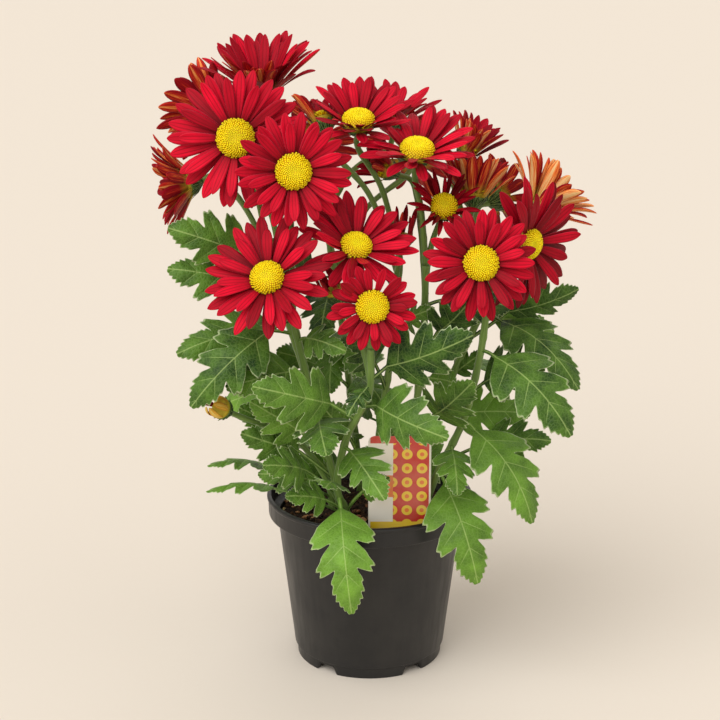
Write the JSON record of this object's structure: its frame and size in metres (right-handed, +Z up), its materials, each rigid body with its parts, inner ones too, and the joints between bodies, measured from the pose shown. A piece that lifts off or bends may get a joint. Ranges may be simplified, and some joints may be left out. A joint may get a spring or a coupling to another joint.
{
  "type": "potted garden chrysanthemum",
  "caption": "Leafy chrysanthemum with red daisy blooms, yellow discs and lobed green leaves, growing in a black nursery pot.",
  "frame": {"origin": "on the ground under the middle of the plant, which is the pot's axis", "axes": "+Z up along the pot's axis; -Y is the front, where the label and the largest blooms face; +X to the right"},
  "size_m": [0.2661, 0.2244, 0.3931],
  "materials": {
    "pot": "satin black moulded polypropylene",
    "soil": "moist peat compost with bark chips",
    "tag": "printed plastic label",
    "foliage": "matt, slightly hairy leaf and stem",
    "petals": "velvety red petal with an orange-cream back",
    "discs": "beaded yellow florets"
  },
  "bodies": {
    "root": {"pot": "pot", "soil": "soil", "tag": "tag", "stem_left": "foliage", "stem_left_front": "foliage", "stem_front": "foliage", "stem_centre": "foliage", "stem_right_centre": "foliage", "stem_right": "foliage", "stem_right_back": "foliage", "stem_back": "foliage", "bloom_01_rays": "petals", "bloom_01_disc": "discs", "bloom_02_rays": "petals", "bloom_02_disc": "discs", "bloom_03_rays": "petals", "bloom_03_disc": "discs", "bloom_04_rays": "petals", "bloom_04_disc": "discs", "bloom_05_rays": "petals", "bloom_05_disc": "discs", "bloom_06_rays": "petals", "bloom_06_disc": "discs", "bloom_07_rays": "petals", "bloom_07_disc": "discs", "bloom_08_rays": "petals", "bloom_08_disc": "discs", "bloom_09_rays": "petals", "bloom_09_disc": "discs", "bloom_10_rays": "petals", "bloom_10_disc": "discs", "bloom_11_rays": "petals", "bloom_11_disc": "discs", "bloom_12_rays": "petals", "bloom_12_disc": "discs", "bloom_13_rays": "petals", "bloom_13_disc": "discs", "bloom_14_rays": "petals", "bloom_14_disc": "discs", "bloom_15_rays": "petals", "bloom_15_disc": "discs", "bloom_16_rays": "petals", "bloom_16_disc": "discs", "bloom_17_rays": "petals", "bloom_17_disc": "discs", "bloom_18_rays": "petals", "bloom_18_disc": "discs", "bloom_19_rays": "petals", "bloom_19_disc": "discs", "bloom_20_rays": "petals", "bloom_20_disc": "discs", "bloom_21_rays": "petals", "bloom_21_disc": "discs", "bloom_22_rays": "petals", "bloom_22_disc": "discs", "bud_centre_rays": "petals", "bud_front_rays": "petals", "bud_left_rays": "petals"}
  },
  "joints": []
}
